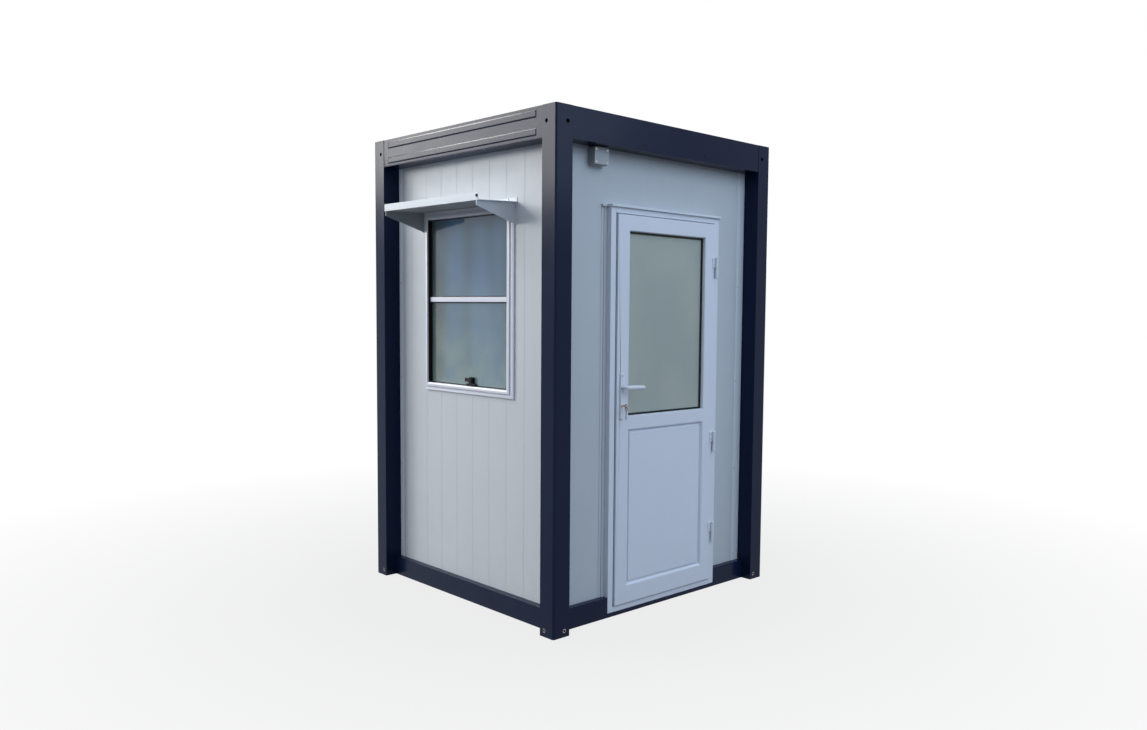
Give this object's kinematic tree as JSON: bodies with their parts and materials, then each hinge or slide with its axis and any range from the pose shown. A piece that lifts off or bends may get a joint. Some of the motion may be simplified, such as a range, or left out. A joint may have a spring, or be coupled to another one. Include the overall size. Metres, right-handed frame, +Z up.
{
  "type": "guard booth",
  "caption": "Small steel-framed guard booth with light wall panels, a hooded window, a half-glazed outward-opening door with a lever handle, and fixing holes in its posts.",
  "frame": {"origin": "on the ground under the middle of the booth's square plan", "axes": "+Z up, -Y out of the window side, +X out of the door side"},
  "size_m": [1.6, 1.738, 2.5],
  "materials": {
    "frame_paint": "satin dark navy paint",
    "wall_sheet": "satin light grey coated sheet",
    "white_pvc": "smooth white",
    "white_sheet": "satin white coated sheet",
    "roof_sheet": "satin grey coated sheet",
    "ceiling_sheet": "matt white",
    "floor_steel": "grey primer",
    "floor_vinyl": "mottled grey",
    "clear_glass": "clear",
    "frosted_glass": "frosted",
    "black_plastic": "matt black",
    "hinge_white": "white enamel",
    "handle_white": "white enamel",
    "box_plastic": "smooth white",
    "lock_steel": "nickel plate",
    "key_steel": "worn nickel plate"
  },
  "bodies": {
    "booth": {"post_front_left": "frame_paint", "post_front_right": "frame_paint", "post_back_left": "frame_paint", "post_back_right": "frame_paint", "beam_front": "frame_paint", "beam_right": "frame_paint", "beam_back": "frame_paint", "beam_left": "frame_paint", "roof_panel": "roof_sheet", "ceiling": "ceiling_sheet", "floor_panel": "floor_steel", "floor_covering": "floor_vinyl", "rail_front": "frame_paint", "rail_back": "frame_paint", "rail_left": "frame_paint", "rail_right_front": "frame_paint", "rail_right_back": "frame_paint", "threshold": "frame_paint", "front_wall": "wall_sheet", "back_wall": "wall_sheet", "left_wall": "wall_sheet", "right_wall_front": "wall_sheet", "right_wall_back": "wall_sheet", "right_wall_over": "wall_sheet", "corner_strips": "white_sheet", "window_frame": "white_pvc", "window_bar": "white_pvc", "window_glass": "clear_glass", "window_latch": "black_plastic", "hood_sheet": "white_sheet", "hood_gussets": "white_sheet", "door_jamb_lock": "white_pvc", "door_jamb_hinge": "white_pvc", "door_head": "white_pvc", "door_sill": "white_pvc", "door_stops": "white_pvc", "drip_cap": "white_sheet", "frame_hinges": "hinge_white", "junction_box": "box_plastic"},
    "door": {"door_leaf": "white_pvc", "door_glass": "frosted_glass", "door_panel": "white_pvc", "leaf_hinges": "hinge_white", "handle_plates": "handle_white", "lock_cylinder": "lock_steel", "door_keys": "key_steel"},
    "handle": {"door_lever": "handle_white"}
  },
  "joints": [
    {"name": "door_swing", "type": "hinge", "parent": "booth", "child": "door", "pos_m": [0.757, 0.4005, 1], "axis": [0, 0, 1], "range_deg": [0, 105]},
    {"name": "lever_turn", "type": "hinge", "parent": "door", "child": "handle", "pos_m": [0.745, -0.314, 1.172], "axis": [-1, 0, 0], "range_deg": [0, 40], "stiffness_Nm_per_rad": 2, "springref_deg": -28.65}
  ]
}
